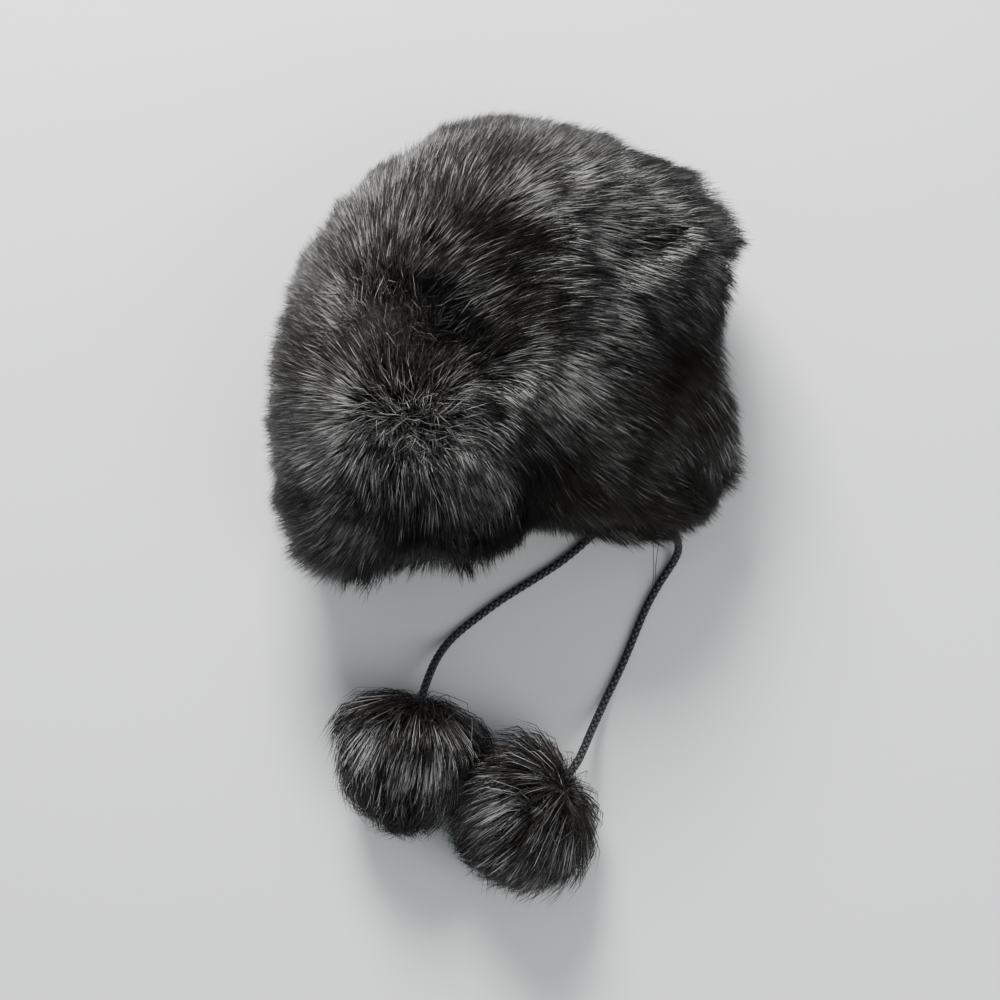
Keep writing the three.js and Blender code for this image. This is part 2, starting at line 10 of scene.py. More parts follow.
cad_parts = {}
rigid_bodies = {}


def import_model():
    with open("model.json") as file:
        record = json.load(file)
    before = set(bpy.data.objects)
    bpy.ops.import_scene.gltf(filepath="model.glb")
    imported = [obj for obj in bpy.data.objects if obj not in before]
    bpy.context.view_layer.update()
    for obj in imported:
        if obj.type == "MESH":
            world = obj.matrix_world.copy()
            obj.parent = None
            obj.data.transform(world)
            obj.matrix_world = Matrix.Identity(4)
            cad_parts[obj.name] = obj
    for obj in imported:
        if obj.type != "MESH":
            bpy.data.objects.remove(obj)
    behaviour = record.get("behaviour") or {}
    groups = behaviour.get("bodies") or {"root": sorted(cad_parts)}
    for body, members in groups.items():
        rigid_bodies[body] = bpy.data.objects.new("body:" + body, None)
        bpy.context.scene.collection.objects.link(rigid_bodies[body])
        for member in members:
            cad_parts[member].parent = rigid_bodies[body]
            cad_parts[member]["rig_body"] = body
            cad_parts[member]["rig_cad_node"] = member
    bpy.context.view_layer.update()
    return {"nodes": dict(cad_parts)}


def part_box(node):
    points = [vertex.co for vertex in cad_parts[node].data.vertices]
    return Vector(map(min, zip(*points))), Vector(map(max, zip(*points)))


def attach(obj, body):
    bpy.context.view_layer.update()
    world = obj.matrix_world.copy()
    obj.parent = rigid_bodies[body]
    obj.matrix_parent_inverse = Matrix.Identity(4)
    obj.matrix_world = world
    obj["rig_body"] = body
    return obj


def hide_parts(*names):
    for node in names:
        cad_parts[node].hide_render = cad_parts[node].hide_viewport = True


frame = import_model()

# The camera
# It looks down at the hat from just short of straight above, with the crown at the top of the picture,
# as a camera on a copy stand does.
camera_target = Vector((-0.0036, -0.0704, 0.0))
camera_elevation = math.radians(79)
camera_distance = 1.15
seen_width = 0.55  # at the target
bpy.ops.object.camera_add()
camera = bpy.context.object
camera.name = "camera"
camera.data.lens = camera.data.sensor_width * camera_distance / seen_width
camera_back = Vector((0, -math.cos(camera_elevation), math.sin(camera_elevation)))
camera.location = camera_target + camera_back * camera_distance
camera.rotation_euler = (math.pi / 2 - camera_elevation, 0, 0)
bpy.context.scene.camera = camera

# The ties
# Each is a limp round braid of eight black yarns round a core. It is sewn to the corner of an ear flap, lies
# on the surface and goes into its pompom.
tie_diameter = 0.0045
tie_pitch = 0.016  # along which a yarn goes round once
yarns_each_way = 4
yarn_width = 0.0023
yarn_thickness = 0.0009
yarn_wave = 0.45 * yarn_thickness  # in and out, where yarns cross
core_radius = tie_diameter / 2 - 1.35 * yarn_thickness
yarn_step = 0.0008
yarn_sides = 6
yarn_colour = (0.004, 0.004, 0.0045, 1)
# A painted highlight on the crowns of the yarns, where they pass over one another and catch the light
yarn_crown_highlight = (0.085, 0.088, 0.09, 1)  # where a yarn passes over another
right_tie_route = [
    (0.0805, -0.0852, 0.0286), (0.0845, -0.0882, 0.0272), (0.0888, -0.0916, 0.0226),
    (0.0922, -0.0956, 0.0158), (0.0932, -0.0998, 0.0092), (0.0916, -0.1042, 0.0044),
    (0.0884, -0.1092, 0.0025), (0.0831, -0.1173, 0.0024), (0.0772, -0.1276, 0.0024),
    (0.0724, -0.138, 0.0024), (0.068, -0.1486, 0.0024), (0.0633, -0.1596, 0.0024),
    (0.0582, -0.1704, 0.0025), (0.053, -0.181, 0.0036), (0.0482, -0.1912, 0.0074),
    (0.044, -0.2004, 0.0136), (0.0404, -0.2086, 0.0208), (0.0364, -0.2164, 0.0268),
    (0.031, -0.2234, 0.0304), (0.0246, -0.2296, 0.0316),
]
left_tie_route = [
    (0.0574, -0.0646, 0.0156), (0.0562, -0.0688, 0.0156), (0.0544, -0.0736, 0.0136),
    (0.0526, -0.079, 0.0098), (0.0504, -0.0846, 0.0058), (0.0468, -0.0902, 0.003),
    (0.04, -0.0968, 0.0024), (0.031, -0.1042, 0.0024), (0.0226, -0.11, 0.0024),
    (0.0142, -0.1154, 0.0024), (0.0056, -0.1208, 0.0024), (-0.003, -0.1263, 0.0024),
    (-0.0104, -0.1316, 0.0024), (-0.0174, -0.137, 0.0024), (-0.0242, -0.1424, 0.0025),
    (-0.0302, -0.1482, 0.004), (-0.035, -0.1548, 0.0084), (-0.0386, -0.162, 0.0148),
    (-0.0412, -0.1694, 0.0216), (-0.0436, -0.1774, 0.027), (-0.0458, -0.186, 0.0304),
]


def unit(vectors):
    return vectors / np.maximum(np.linalg.norm(vectors, axis=-1, keepdims=True), 1e-9)


def smooth_route(route, step, finer=20):
    """Points at even steps along one smooth curve through the route's points."""
    points = np.array([route[0], *route, route[-1]], float)
    curve = []
    for before, start, end, after in zip(points, points[1:], points[2:], points[3:]):
        for share in np.linspace(0, 1, finer, endpoint=False):
            curve.append(
                0.5 * (2 * start + (end - before) * share
                       + (2 * before - 5 * start + 4 * end - after) * share ** 2
                       + (3 * start - before - 3 * end + after) * share ** 3)
            )
    curve = np.array([*curve, route[-1]])
    run = np.concatenate([[0], np.cumsum(np.linalg.norm(np.diff(curve, axis=0), axis=1))])
    even = np.linspace(0, run[-1], round(run[-1] / step) + 1)
    return np.stack([np.interp(even, run, curve[:, axis]) for axis in range(3)], axis=1), run[-1]


def sweep(centres, wide_way, thick_way, width, thickness):
    """A closed tube of an oval section round a line of centres, as vertices and faces."""
    turns = np.arange(yarn_sides) * 2 * math.pi / yarn_sides
    rings = (
        centres[:, None]
        + wide_way[:, None] * np.cos(turns)[None, :, None] * width / 2
        + thick_way[:, None] * np.sin(turns)[None, :, None] * thickness / 2
    )
    vertices = [tuple(corner) for corner in rings.reshape(-1, 3)]
    around = range(yarn_sides)
    last = (len(centres) - 1) * yarn_sides
    faces = [tuple(reversed(around)), tuple(last + i for i in around)]
    for ring in range(0, last, yarn_sides):
        for i in around:
            a, b = ring + i, ring + (i + 1) % yarn_sides
            faces.append((a, b, b + yarn_sides, a + yarn_sides))
    return vertices, faces


def braid(name, route):
    """Four yarns wound each way round the route, over and under each other, and a core between them."""
    path, length = smooth_route(route, yarn_step)
    along = unit(np.gradient(path, axis=0))
    sides = [unit(np.cross(along[0], (0, 0, 1)))]
    for way in along[1:]:
        sides.append(unit(sides[-1] - way * np.dot(sides[-1], way)))
    side = np.array(sides)
    rise = np.cross(along, side)
    turns = np.arange(len(path)) * yarn_step / tie_pitch
    vertices, faces = sweep(path, side, rise, 2 * core_radius, 2 * core_radius)
    for hand in (1, -1):
        wave = yarn_wave * hand * np.cos(2 * math.pi * yarns_each_way * turns)
        for yarn in range(yarns_each_way):
            turn = 2 * math.pi * (hand * turns + yarn / yarns_each_way)
            out = side * np.cos(turn)[:, None] + rise * np.sin(turn)[:, None]
            centres = path + out * (core_radius + yarn_thickness / 2 + wave)[:, None]
            heading = unit(np.gradient(centres, axis=0))
            across = unit(np.cross(out, heading))
            more_vertices, more_faces = sweep(
                centres, across, np.cross(heading, across), yarn_width, yarn_thickness
            )
            start = len(vertices)
            vertices += more_vertices
            faces += [tuple(start + corner for corner in face) for face in more_faces]
    mesh = bpy.data.meshes.new(name)
    mesh.from_pydata(vertices, [], faces)
    mesh.shade_smooth()
    tubes = np.array(vertices).reshape(-1, len(path), yarn_sides, 3)
    crown = np.linalg.norm(tubes - path[None, :, None], axis=3) / (tie_diameter / 2)
    layer = mesh.attributes.new("crown", "FLOAT", "POINT")
    layer.data.foreach_set("value", crown.astype(np.float32).ravel())
    piece = bpy.data.objects.new(name, mesh)
    bpy.context.scene.collection.objects.link(piece)
    return piece, path, length


def node_maker(material):
    """Clears a material's nodes and gives back a short way to add one with its values, and to link two."""
    material.use_nodes = True
    tree = material.node_tree
    tree.nodes.clear()

    def add(kind, values=None, **settings):
        node = tree.nodes.new(kind)
        for name, setting in settings.items():
            setattr(node, name, setting)
        for name, value in (values or {}).items():
            node.inputs[name].default_value = value
        return node

    return add, tree.links.new


def shade_ramp(add, stops):
    """A ramp through these places and colours."""
    node = add("ShaderNodeValToRGB")
    elements = node.color_ramp.elements
    elements.remove(elements[1])
    elements[0].position = stops[0][0]
    elements[0].color = stops[0][1]
    for position, colour in stops[1:]:
        elements.new(position).color = colour
    return node


def finish_surface(add, link, values, sources):
    """Ends a material with its shader: the shader's own values, and what feeds its other inputs."""
    shader = add("ShaderNodeBsdfPrincipled", values)
    for name, source in sources.items():
        link(source, shader.inputs[name])
    output = add("ShaderNodeOutputMaterial")
    link(shader.outputs["BSDF"], output.inputs["Surface"])


def yarn_material():
    """Black fibres, with a painted highlight on the crowns of the braid, where they catch the light."""
    material = bpy.data.materials.new("braided_yarn")
    add, link = node_maker(material)
    place = add("ShaderNodeTexCoord")
    fibres = add("ShaderNodeTexNoise", {"Scale": 2600, "Detail": 3})
    link(place.outputs["Object"], fibres.inputs["Vector"])
    crown = add("ShaderNodeAttribute", attribute_name="crown")
    uneven = add("ShaderNodeMath", {1: 0.03}, operation="MULTIPLY_ADD")
    link(fibres.outputs["Fac"], uneven.inputs[0])
    link(crown.outputs["Fac"], uneven.inputs[2])
    shades = shade_ramp(add, ((0.93, yarn_colour), (1.0, yarn_crown_highlight)))
    link(uneven.outputs["Value"], shades.inputs["Fac"])
    bump = add("ShaderNodeBump", {"Strength": 0.5, "Distance": 0.0002})
    link(fibres.outputs["Fac"], bump.inputs["Height"])
    finish_surface(
        add, link, {"Roughness": 0.45, "Sheen Weight": 0.1},
        {"Base Color": shades.outputs["Color"], "Normal": bump.outputs["Normal"]},
    )
    return material


yarn = yarn_material()
right_braid, right_path, right_length = braid("right_braid", right_tie_route)
left_braid, left_path, left_length = braid("left_braid", left_tie_route)
for piece, node in ((right_braid, "right_tie"), (left_braid, "left_tie")):
    piece.data.materials.append(yarn)
    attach(piece, "root")
    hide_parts(node)

# The pompoms
# Each is a ball of the hat's fur, gathered and stuffed. Its hair is combed from where the tie goes in, round
# the ball to the far side, and both balls are pressed a little flat on the surface.
ball_voxel = 0.003
ball_softening = 40  # rounds
ball_depth = 0.011  # from the pile's outer face down to the hair's roots
ball_pressed_depth = 0.6 * ball_depth
ball_hair_length = 0.042
ball_bend = 17  # radians to the metre that the hair bends round the ball
ball_reach = 0.028  # of the hairs' tips above their roots
ball_turn = 0.05  # how far a hair's way strays from straight round the ball
far_side_rise = math.radians(25)  # how much more the hair stands off on the far side
right_whorl = (0.65, 0.5, 0.5)  # the way from the ball's middle to where its hair starts
left_whorl = (0.2, 0.95, 0.2)
# The two coats of hair. share is of the hair's length, rise is in degrees off the cloth, and stations are a
# hair's points from root to tip. So many hairs make a clump, and pull says how far they draw together.
ball_coats = {
    "under_hair": {
        "hairs": 6500, "share": 0.5, "rise": 42, "width": 0.0006, "stations": 2, "clump": 8, "pull": 0.3,
    },
    "guard_hair": {
        "hairs": 7000, "share": 1.0, "rise": 44, "width": 0.00036, "stations": 4, "clump": 10, "pull": 0.38,
    },
}
ball_silver = 0.26
ball_ring_silver = 0.44  # more, in a ring round the ball
ring_place = 0.25  # from the ball's middle towards the whorl, as a share of its radius
ring_width = 0.4
hair_floor = 0.0004
# How unlike its neighbours a hair is
hair_turn = math.radians(5)
hair_tilt = math.radians(6)
length_spread = 0.13
length_range = (0.6, 1.35)
width_range = (0.75, 1.25)
reach_range = (0.65, 1.1)
tone_spread = 0.5
clump_tone_spread = 0.3
clump_pull_range = (0.5, 1.2)
closest_pull = 0.92
clump_curve = 1.4  # above 1, a clump draws together mostly near its tips
hair_tapers = {  # for each number of stations, the width there as a share of the hair's
    2: np.array([1, 0]),
    3: np.array([0, 1, 0]),
    4: np.array([0, 0.9, 1, 0]),
    5: np.array([0, 1, 1, 0.8, 0]),
}
hair_steps = {2: (1.0,), 3: (0.46, 0.54), 4: (0.3, 0.38, 0.32)}  # shares of the length between stations
merge_distance = 0.00002
root_softening = 8  # rounds
guide_softening = 40
pompom_shades = {
    "root": (0.007, 0.006, 0.0055, 1),
    "low": (0.035, 0.032, 0.03, 1),
    "band": (0.46, 0.455, 0.45, 1),
    "high": (0.07, 0.058, 0.05, 1),
    "tip": (0.012, 0.008, 0.006, 1),
    "dark hair": (0.021, 0.0165, 0.0135, 1),
}
skin_colour = (0.009, 0.008, 0.0075, 1)
skin_rib_colour = (0.0234, 0.0208, 0.0195, 1)


def soft_copy(title, names, voxel, rounds):
    """A copy of these CAD nodes as one even mesh, with their locks smoothed down."""
    bpy.ops.object.select_all(action="DESELECT")
    for name in names:
        frame["nodes"][name].select_set(True)
    bpy.context.view_layer.objects.active = frame["nodes"][names[0]]
    bpy.ops.object.duplicate()
    if len(names) > 1:
        bpy.ops.object.join()
    copy = bpy.context.object
    bpy.ops.object.parent_clear(type="CLEAR_KEEP_TRANSFORM")
    copy.name = title
    del copy["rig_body"]
    del copy["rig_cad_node"]
    copy.data.materials.clear()
    bpy.ops.object.mode_set(mode="EDIT")
    bpy.ops.mesh.select_all(action="SELECT")
    bpy.ops.mesh.remove_doubles(threshold=merge_distance)
    bpy.ops.object.mode_set(mode="OBJECT")
    even = copy.modifiers.new("even", "REMESH")
    even.mode = "VOXEL"
    even.voxel_size = voxel
    bpy.ops.object.modifier_apply(modifier=even.name)
    soften(copy, rounds)
    return drop_crumbs(copy)


def drop_crumbs(piece):
    """Deletes the loose bits that evening the mesh leaves off the tips of locks."""
    title = piece.name
    bpy.ops.object.mode_set(mode="EDIT")
    bpy.ops.mesh.select_all(action="SELECT")
    bpy.ops.mesh.separate(type="LOOSE")
    bpy.ops.object.mode_set(mode="OBJECT")
    bits = sorted(bpy.context.selected_objects, key=lambda bit: len(bit.data.vertices))
    whole = bits.pop()
    bpy.ops.object.select_all(action="DESELECT")
    for bit in bits:
        bit.select_set(True)
    bpy.ops.object.delete()
    whole.select_set(True)
    bpy.context.view_layer.objects.active = whole
    whole.name = title
    return whole


def soften(piece, rounds):
    bpy.context.view_layer.objects.active = piece
    smooth = piece.modifiers.new("smooth", "SMOOTH")
    smooth.factor = 0.5
    smooth.iterations = rounds
    bpy.ops.object.modifier_apply(modifier=smooth.name)
    piece.data.shade_smooth()


def vertex_array(mesh, what):
    values = np.empty(len(mesh.vertices) * 3, np.float32)
    mesh.vertices.foreach_get(what, values)
    return values.reshape(-1, 3).astype(float)


def ease(value, low, high):
    """0 below low, 1 above high, and a soft change between them."""
    share = np.clip((value - low) / (high - low), 0, 1)
    return share * share * (3 - 2 * share)


def sink_to_roots(skin, middle, depth, pressed_depth):
    """Draws the outer face in from the pile's face to the cloth, and says which vertices are outer ones."""
    points = vertex_array(skin.data, "co")
    normals = vertex_array(skin.data, "normal")
    outer = ((points - np.array(middle)) * normals).sum(axis=1) > 0
    free = ease(normals[:, 2], -0.75, -0.1)  # 0 where the face looks down onto the surface
    inset = outer * (pressed_depth + (depth - pressed_depth) * free)
    points -= normals * inset[:, None]
    skin.data.vertices.foreach_set("co", points.astype(np.float32).ravel())
    skin.data.update()
    soften(skin, root_softening)
    return outer


def scatter_roots(skin, outer, count, weight, rng):
    """Hair roots on the outer face, as thickly as the weight says, and the surface's normals there."""
    mesh = skin.data
    mesh.calc_loop_triangles()
    corners = np.empty(len(mesh.loop_triangles) * 3, np.int32)
    mesh.loop_triangles.foreach_get("vertices", corners)
    corners = corners.reshape(-1, 3)
    points = vertex_array(mesh, "co")
    normals = vertex_array(mesh, "normal")
    corners = corners[outer[corners].all(axis=1)]
    a, b, c = (points[corners[:, k]] for k in range(3))
    area = np.linalg.norm(np.cross(b - a, c - a), axis=1) / 2
    chance = area * weight(unit(normals[corners].sum(axis=1)))
    chosen = rng.choice(len(corners), size=count, p=chance / chance.sum())
    u, v = rng.random(count), rng.random(count)
    fold = u + v > 1
    u[fold], v[fold] = 1 - u[fold], 1 - v[fold]
    share = np.stack([1 - u - v, u, v], axis=1)[:, :, None]
    roots = (points[corners[chosen]] * share).sum(axis=1)
    return roots, unit((normals[corners[chosen]] * share).sum(axis=1))


def hair_pattern(stations):
    """One three-sided hair: for each vertex its station and its place in the section, and the faces."""
    bpy.ops.object.select_all(action="DESELECT")
    if stations == 2:
        bpy.ops.mesh.primitive_cone_add(vertices=3)
    elif stations == 3:
        bpy.ops.mesh.primitive_cone_add(vertices=3, end_fill_type="NOTHING")
        bpy.ops.object.mode_set(mode="EDIT")
        bpy.ops.mesh.select_all(action="DESELECT")
        bpy.ops.object.mode_set(mode="OBJECT")
        for corner in bpy.context.object.data.vertices:
            corner.select = corner.co.z < 0
        bpy.ops.object.mode_set(mode="EDIT")
        bpy.ops.mesh.extrude_region_move(TRANSFORM_OT_translate={"value": (0, 0, -2)})
        bpy.ops.mesh.merge(type="CENTER")
        bpy.ops.mesh.select_all(action="SELECT")
        bpy.ops.mesh.normals_make_consistent(inside=False)
        bpy.ops.object.mode_set(mode="OBJECT")
    else:
        bpy.ops.mesh.primitive_uv_sphere_add(segments=3, ring_count=stations - 1)
    hair = bpy.context.object
    corners = vertex_array(hair.data, "co")
    levels = np.unique(np.round(corners[:, 2], 4))
    station = np.searchsorted(levels, np.round(corners[:, 2], 4))
    out = np.linalg.norm(corners[:, :2], axis=1, keepdims=True)
    section = np.where(out > 0.1, corners[:, :2] / np.maximum(out, 0.1), 0)
    faces = [list(face.vertices) for face in hair.data.polygons]
    bpy.ops.object.delete()
    return station, section, faces


hair_patterns = {stations: hair_pattern(stations) for stations in hair_tapers}


def hair_mesh(title, paths, normals, widths, tone):
    """A joined mesh of hairs. Each has its own path of stations, its width and its tone."""
    count, stations = paths.shape[:2]
    station, section, faces = hair_patterns[stations]
    along = unit(np.gradient(paths, axis=1))
    side = unit(np.cross(normals[:, None], along))
    rise = np.cross(along, side)
    reach = (widths[:, None] * hair_tapers[stations][None] / 2)[:, station, None]
    vertices = (
        paths[:, station]
        + side[:, station] * section[None, :, :1] * reach
        + rise[:, station] * section[None, :, 1:] * reach
    )
    vertices[:, :, 2] = np.maximum(vertices[:, :, 2], hair_floor)
    corners = np.concatenate([np.array(face) for face in faces])
    sizes = np.array([len(face) for face in faces])
    mesh = bpy.data.meshes.new(title)
    mesh.vertices.add(count * len(station))
    mesh.vertices.foreach_set("co", vertices.astype(np.float32).ravel())
    loops = (corners[None] + len(station) * np.arange(count)[:, None]).ravel()
    mesh.loops.add(len(loops))
    mesh.loops.foreach_set("vertex_index", loops.astype(np.int32))
    starts = np.concatenate([[0], np.cumsum(np.tile(sizes, count))[:-1]])
    mesh.polygons.add(len(starts))
    mesh.polygons.foreach_set("loop_start", starts.astype(np.int32))
    mesh.update(calc_edges=True)
    mesh.shade_smooth()
    share = station / (stations - 1)
    values = {"along": np.tile(share, count), "tone": np.repeat(tone, len(station))}
    for name, numbers in values.items():
        layer = mesh.attributes.new(name, "FLOAT", "POINT")
        layer.data.foreach_set("value", numbers.astype(np.float32))
    piece = bpy.data.objects.new(title, mesh)
    bpy.context.scene.collection.objects.link(piece)
    return piece


def guide_form(skin):
    """The form that the hairs follow: the cloth's, without its small bumps."""
    bpy.ops.object.select_all(action="DESELECT")
    skin.select_set(True)
    bpy.context.view_layer.objects.active = skin
    bpy.ops.object.duplicate()
    guide = bpy.context.object
    soften(guide, guide_softening)
    form = BVHTree.FromPolygons(
        [tuple(point) for point in vertex_array(guide.data, "co")],
        [tuple(face.vertices) for face in guide.data.polygons],
    )
    bpy.ops.object.delete()
    return form


def lay_flat(ways, normals):
    """The same ways, turned to lie along the surface."""
    return unit(ways - normals * (ways * normals).sum(axis=1)[:, None])


def hair_paths(roots, normals, ways, lengths, lifts, bend, stations):
    """The stations of each hair: it rises from its root and bends over to lie along its way."""
    points = [roots]
    done = 0
    for step in hair_steps[stations]:
        middle = done + step / 2
        lift = lifts * (1 - middle) - lengths * middle * bend
        heading = ways * np.cos(lift)[:, None] + normals * np.sin(lift)[:, None]
        points.append(points[-1] + heading * (lengths * step)[:, None])
        done += step
    return np.stack(points, axis=1)


def trim(paths, form, reach, rng):
    """Shortens the hairs whose tips would stand further off the form than they reach."""
    limits = reach * rng.uniform(*reach_range, len(paths))
    tips = paths[:, -1]
    height = np.array([form.find_nearest(tip)[3] for tip in tips])
    share = np.minimum(1, limits / np.maximum(height, 1e-6))
    return paths[:, :1] + (paths - paths[:, :1]) * share[:, None, None]


def gather(paths, roots, clump, pull, rng):
    """Draws neighbouring hairs together towards their tips, about so many to a clump."""
    guides = rng.choice(len(roots), size=max(len(roots) // clump, 1), replace=False)
    tree = KDTree(len(guides))
    for number, guide in enumerate(guides):
        tree.insert(roots[guide], number)
    tree.balance()
    nearest = np.array([tree.find(root)[1] for root in roots])
    share = np.linspace(0, 1, paths.shape[1]) ** clump_curve
    strength = (pull * rng.uniform(*clump_pull_range, len(guides)))[nearest]
    leader = paths[guides[nearest]]
    weight = np.clip(strength[:, None] * share[None], 0, closest_pull)[:, :, None]
    return paths * (1 - weight) + leader * weight, nearest, len(guides)


def grow(title, coat, form, roots, normals, ways, lengths, lifts, bend, reach, silver, rng):
    """The hairs of one coat on one panel, as one piece, each a little unlike the next."""
    count = len(roots)
    turn = rng.normal(0, hair_turn, count)
    across = np.cross(normals, ways)
    ways = unit(ways * np.cos(turn)[:, None] + across * np.sin(turn)[:, None])
    lengths = lengths * rng.normal(1, length_spread, count).clip(*length_range)
    lifts = lifts + rng.normal(0, hair_tilt, count)
    paths = hair_paths(roots, normals, ways, lengths, lifts, bend, coat["stations"])
    paths = trim(paths, form, reach, rng)
    paths, clump, clumps = gather(paths, roots, coat["clump"], coat["pull"], rng)
    widths = coat["width"] * rng.uniform(*width_range, count)
    tone = silver + tone_spread * (rng.random(count) - 0.5)
    tone += clump_tone_spread * (rng.random(clumps)[clump] - 0.5)
    return hair_mesh(title, paths, normals, widths, tone)


def fur_material(name, shades):
    """Hair that is dark at the root and the tip and silvery between them, with darker hairs among it where
    its tone is low; on the hat, low tone is partly painted shade.
    """
    material = bpy.data.materials.new(name)
    add, link = node_maker(material)
    along = add("ShaderNodeAttribute", attribute_name="along")
    tone = add("ShaderNodeAttribute", attribute_name="tone")
    place = add("ShaderNodeTexCoord")
    patches = add("ShaderNodeTexNoise", {"Scale": 34, "Detail": 3})
    link(place.outputs["Object"], patches.inputs["Vector"])
    shift = add("ShaderNodeMapRange", {"To Min": -0.08, "To Max": 0.08})
    link(patches.outputs["Fac"], shift.inputs["Value"])
    station = add("ShaderNodeMath", operation="ADD")
    link(along.outputs["Fac"], station.inputs[0])
    link(shift.outputs["Result"], station.inputs[1])
    bands = shade_ramp(add, (
        (0.0, shades["root"]), (0.26, shades["low"]), (0.46, shades["band"]), (0.64, shades["band"]),
        (0.76, shades["high"]), (0.86, shades["tip"]), (1.0, shades["tip"]),
    ))
    link(station.outputs["Value"], bands.inputs["Fac"])
    dark = add("ShaderNodeMapRange", {"From Min": 0.72, "From Max": 0.24}, interpolation_type="SMOOTHSTEP")
    link(tone.outputs["Fac"], dark.inputs["Value"])
    mixed = add("ShaderNodeMix", {"B": shades["dark hair"]}, data_type="RGBA")
    link(dark.outputs["Result"], mixed.inputs["Factor"])
    link(bands.outputs["Color"], mixed.inputs["A"])
    finish_surface(
        add, link, {"Roughness": 0.42, "Specular IOR Level": 0.6}, {"Base Color": mixed.outputs["Result"]},
    )
    return material


def skin_material():
    """Knitted backing cloth under the pile, in small ribs."""
    material = bpy.data.materials.new("backing_cloth")
    add, link = node_maker(material)
    place = add("ShaderNodeTexCoord")
    ribs = add(
        "ShaderNodeTexWave", {"Scale": 190, "Distortion": 2.5, "Detail": 2, "Detail Scale": 3},
        wave_type="BANDS", bands_direction="X",
    )
    link(place.outputs["Object"], ribs.inputs["Vector"])
    shades = shade_ramp(add, ((0.0, skin_colour), (1.0, skin_rib_colour)))
    link(ribs.outputs["Fac"], shades.inputs["Fac"])
    bump = add("ShaderNodeBump", {"Strength": 0.6, "Distance": 0.0006})
    link(ribs.outputs["Fac"], bump.inputs["Height"])
    finish_surface(
        add, link, {"Roughness": 0.9, "Sheen Weight": 0.2},
        {"Base Color": shades.outputs["Color"], "Normal": bump.outputs["Normal"]},
    )
    return material


def even_weight(normals):
    return np.ones(len(normals))


pompom_fur = fur_material("pompom_fur", pompom_shades)
skin_cloth = skin_material()


def pompom(side, whorl, seed):
    """The ball's cloth, its under hair and its guard hair, all combed away from where the tie goes in."""
    node = side + "_pompom"
    rng = np.random.default_rng(seed)
    low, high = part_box(node)
    middle = np.array((low + high) / 2)
    ball = soft_copy(side + "_pompom_ball", [node], ball_voxel, ball_softening)
    outer = sink_to_roots(ball, middle, ball_depth, ball_pressed_depth)
    ball.data.materials.append(skin_cloth)
    form = guide_form(ball)
    whorl = unit(np.array(whorl))
    pieces = []
    for kind, coat in ball_coats.items():
        roots, normals = scatter_roots(ball, outer, coat["hairs"], even_weight, rng)
        facing = (normals * whorl).sum(axis=1)
        silver = ball_silver + ball_ring_silver * np.exp(-((facing - ring_place) / ring_width) ** 2)
        ways = unit(normals * facing[:, None] - whorl + rng.normal(0, ball_turn, roots.shape))
        lifts = math.radians(coat["rise"]) + far_side_rise * ease(-facing, 0.3, 1)
        hairs = grow(
            f"{side}_pompom_{kind}", coat, form, roots, normals, lay_flat(ways, normals),
            ball_hair_length * coat["share"], lifts, ball_bend, ball_reach, silver, rng,
        )
        hairs.data.materials.append(pompom_fur)
        pieces.append(hairs)
    for piece in (ball, *pieces):
        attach(piece, "root")
    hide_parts(node)
    return [ball, *pieces]


right_pompom = pompom("right", right_whorl, seed=11)
left_pompom = pompom("left", left_whorl, seed=12)

# The hat's fur
# Five panels of long-pile fur cloth are sewn together: a centre panel over the crown, two sides and two ear
# flaps. The silver-tipped pile is combed out from two whorls on the upper side, and falls down all round.
hat_middle = (0.0, 0.0, 0.055)  # in the head hollow
cloth_voxel = 0.004
cloth_softening = 22  # rounds
pile_depth = 0.009  # from the pile's outer face down to the hair's roots
pressed_depth = 0.0012  # the same under the hat, where the pile is pressed flat
hat_hair_length = 0.036
hat_bend = 4
hat_reach = 0.018
side_length = 0.7  # of the hair on the sides, as a share of that on top
flattened = 0.95  # how much of its rise the hair underneath loses
hairs_underneath = 0.12  # to a square, against those on the sides and on top
hairs_on_sides = 0.5
hairs_on_top = 0.6
hat_coats = {
    "under_hair": {
        "hairs": 56000, "share": 0.78, "rise": 52, "width": 0.0006, "stations": 2, "clump": 8, "pull": 0.3,
    },
    "guard_hair": {
        "hairs": 82000, "share": 1.0, "rise": 42, "width": 0.00035, "stations": 3, "clump": 10, "pull": 0.42,
    },
}
panel_hairs = {  # the most hairs of each coat that a panel may have
    "centre_panel": {"guard_hair": 26000, "under_hair": 25000},
    "right_side_panel": {"guard_hair": 28000, "under_hair": 27000},
    "left_side_panel": {"guard_hair": 7000, "under_hair": 8000},
    "right_ear_flap": {"guard_hair": 19000, "under_hair": 20000},
    "left_ear_flap": {"guard_hair": 5000, "under_hair": 5000},
}
stray_hair_width = 0.0004
stray_hair_paths = [
    [(0.0775, -0.09, 0.03), (0.079, -0.1, 0.018), (0.0797, -0.111, 0.009), (0.0793, -0.121, 0.004),
     (0.0777, -0.131, 0.0008)],
    [(0.081, -0.09, 0.03), (0.0817, -0.099, 0.019), (0.0808, -0.108, 0.01), (0.0809, -0.114, 0.005),
     (0.0818, -0.12, 0.0008)],
]
fur_shades = {
    "root": (0.008, 0.0075, 0.007, 1),
    "low": (0.045, 0.043, 0.041, 1),
    "band": (0.57, 0.56, 0.545, 1),
    "high": (0.11, 0.103, 0.097, 1),
    "tip": (0.01, 0.008, 0.007, 1),
    "dark hair": (0.021, 0.0175, 0.015, 1),
}
flap_shades = {
    "root": (0.007, 0.0062, 0.0055, 1),
    "low": (0.04, 0.037, 0.034, 1),
    "band": (0.46, 0.455, 0.44, 1),
    "high": (0.08, 0.075, 0.07, 1),
    "tip": (0.008, 0.007, 0.006, 1),
    "dark hair": (0.023, 0.0175, 0.0135, 1),
}
